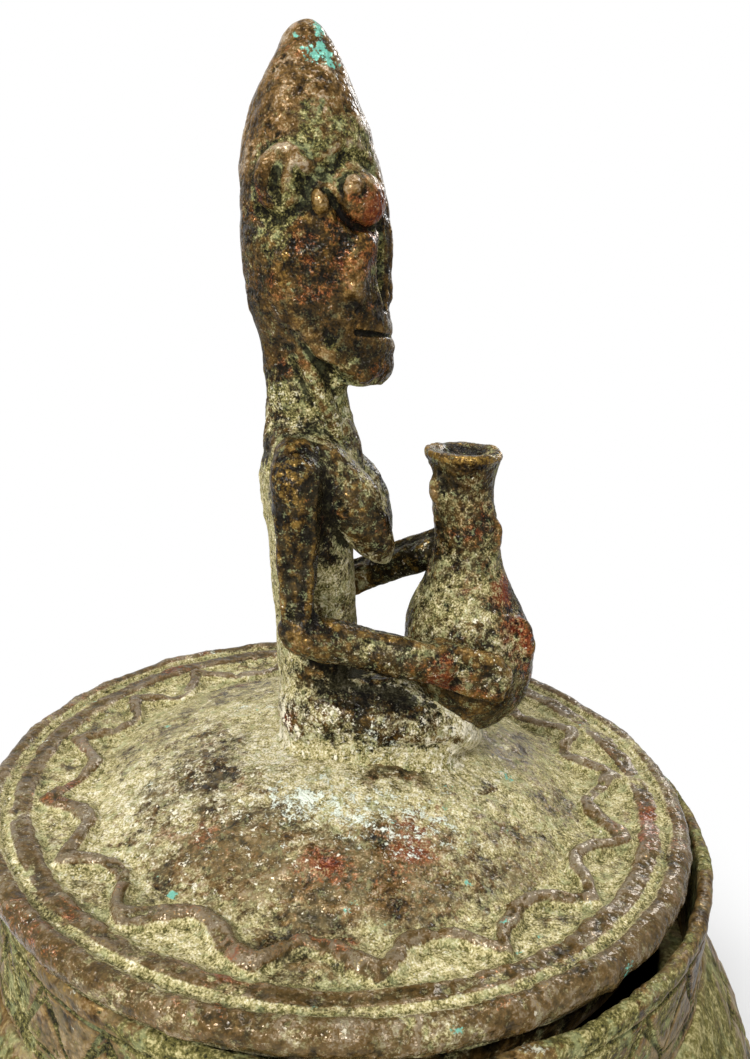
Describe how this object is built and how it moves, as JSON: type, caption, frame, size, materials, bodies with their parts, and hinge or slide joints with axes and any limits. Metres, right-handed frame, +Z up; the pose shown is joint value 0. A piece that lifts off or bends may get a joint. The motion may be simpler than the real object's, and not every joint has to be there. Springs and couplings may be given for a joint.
{
  "type": "lidded vessel",
  "caption": "Round cast bronze vessel with a ring foot, an upright collar and a lift-off domed lid that carries a seated figure holding a flask.",
  "frame": {"origin": "centre of the ring foot's underside, on the vessel's axis", "axes": "+Z up along the vessel's axis, +X the way the seated figure faces, +Y to the figure's left"},
  "size_m": [0.196, 0.196, 0.3247],
  "materials": {
    "dark_bronze": "cast, dark brown patina",
    "worn_bronze": "cast, rubbed on raised places",
    "crusted_bronze": "cast, grey-green crust"
  },
  "bodies": {
    "vessel": {"foot_ring": "dark_bronze", "vessel_bowl": "crusted_bronze", "mouth_collar": "crusted_bronze"},
    "lid": {"lid_skirt": "dark_bronze", "lid_dome": "crusted_bronze", "rim_roll": "worn_bronze", "inner_ridge": "worn_bronze", "wave_thread": "worn_bronze", "figure_seat": "crusted_bronze", "right_leg": "crusted_bronze", "left_leg": "crusted_bronze", "figure_torso": "crusted_bronze", "right_breast": "dark_bronze", "left_breast": "dark_bronze", "figure_neck": "crusted_bronze", "figure_head": "dark_bronze", "nose_ridge": "worn_bronze", "right_eye_disc": "dark_bronze", "left_eye_disc": "dark_bronze", "right_eye_pellet": "worn_bronze", "left_eye_pellet": "worn_bronze", "right_ear": "worn_bronze", "left_ear": "worn_bronze", "right_arm": "worn_bronze", "left_arm": "worn_bronze", "flask": "dark_bronze"}
  },
  "joints": [
    {"name": "lid_lift", "type": "slide", "parent": "vessel", "child": "lid", "axis": [0, 0, 1], "range_m": [0, 0.12]}
  ]
}
